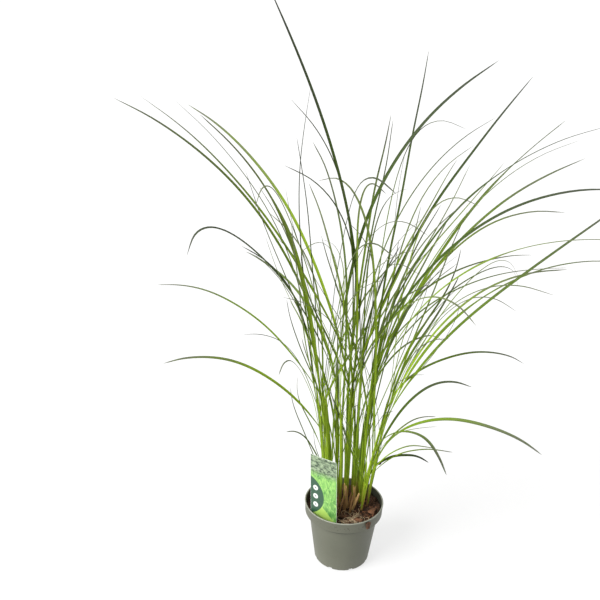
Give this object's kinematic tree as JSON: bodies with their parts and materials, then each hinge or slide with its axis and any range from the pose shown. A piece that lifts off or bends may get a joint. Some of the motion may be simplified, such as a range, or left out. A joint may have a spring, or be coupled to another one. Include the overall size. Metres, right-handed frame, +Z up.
{
  "type": "potted ornamental grass",
  "caption": "Clump-forming ornamental grass with upright shoots and long arching leaves, in a round nursery pot with a stick-in label.",
  "frame": {"origin": "centre of the pot's flat underside", "axes": "+Z up along the pot's axis, -Y towards the side where the label stands, +X to the right when facing the label's side"},
  "size_m": [0.6745, 0.5083, 0.84],
  "materials": {
    "pot_plastic": "matte taupe green moulded plastic, slightly dusty",
    "potting_mix": "dark brown crumbly potting mix with fibres",
    "label_card": null,
    "shoot_green": "smooth light green leaf sheaths, finely ribbed",
    "leaf_green": "mid green blade with a pale midrib and fine veins, satin",
    "dry_straw": "dry pale straw, matte",
    "bark": "reddish brown bark, rough"
  },
  "bodies": {
    "root": {"pot": "pot_plastic", "potting_mix": "potting_mix", "plant_label": "label_card", "shoot_01": "shoot_green", "shoot_02": "shoot_green", "shoot_03": "shoot_green", "shoot_04": "shoot_green", "shoot_05": "shoot_green", "shoot_06": "shoot_green", "shoot_07": "shoot_green", "shoot_08": "shoot_green", "shoot_09": "shoot_green", "shoot_10": "shoot_green", "shoot_11": "shoot_green", "shoot_12": "shoot_green", "shoot_13": "shoot_green", "leaf_01": "leaf_green", "leaf_02": "leaf_green", "leaf_03": "leaf_green", "leaf_04": "leaf_green", "leaf_05": "leaf_green", "leaf_06": "leaf_green", "leaf_07": "leaf_green", "leaf_08": "leaf_green", "leaf_09": "leaf_green", "leaf_10": "leaf_green", "leaf_11": "leaf_green", "leaf_12": "leaf_green", "leaf_13": "leaf_green", "leaf_14": "leaf_green", "leaf_15": "leaf_green", "leaf_16": "leaf_green", "leaf_17": "leaf_green", "leaf_18": "leaf_green", "leaf_19": "leaf_green", "leaf_20": "leaf_green", "leaf_21": "leaf_green", "leaf_22": "leaf_green", "leaf_23": "leaf_green", "leaf_24": "leaf_green", "leaf_25": "leaf_green", "leaf_26": "leaf_green", "leaf_27": "leaf_green", "leaf_28": "leaf_green", "leaf_29": "leaf_green", "leaf_30": "leaf_green", "leaf_31": "leaf_green", "leaf_32": "leaf_green", "leaf_33": "leaf_green", "leaf_34": "leaf_green", "leaf_35": "leaf_green", "leaf_36": "leaf_green", "leaf_37": "leaf_green", "dry_stub_1": "dry_straw", "dry_stub_2": "dry_straw", "dry_stub_3": "dry_straw", "bark_chip_1": "bark", "bark_chip_2": "bark", "bark_chip_3": "bark", "rim_crumb": "bark"}
  },
  "joints": []
}
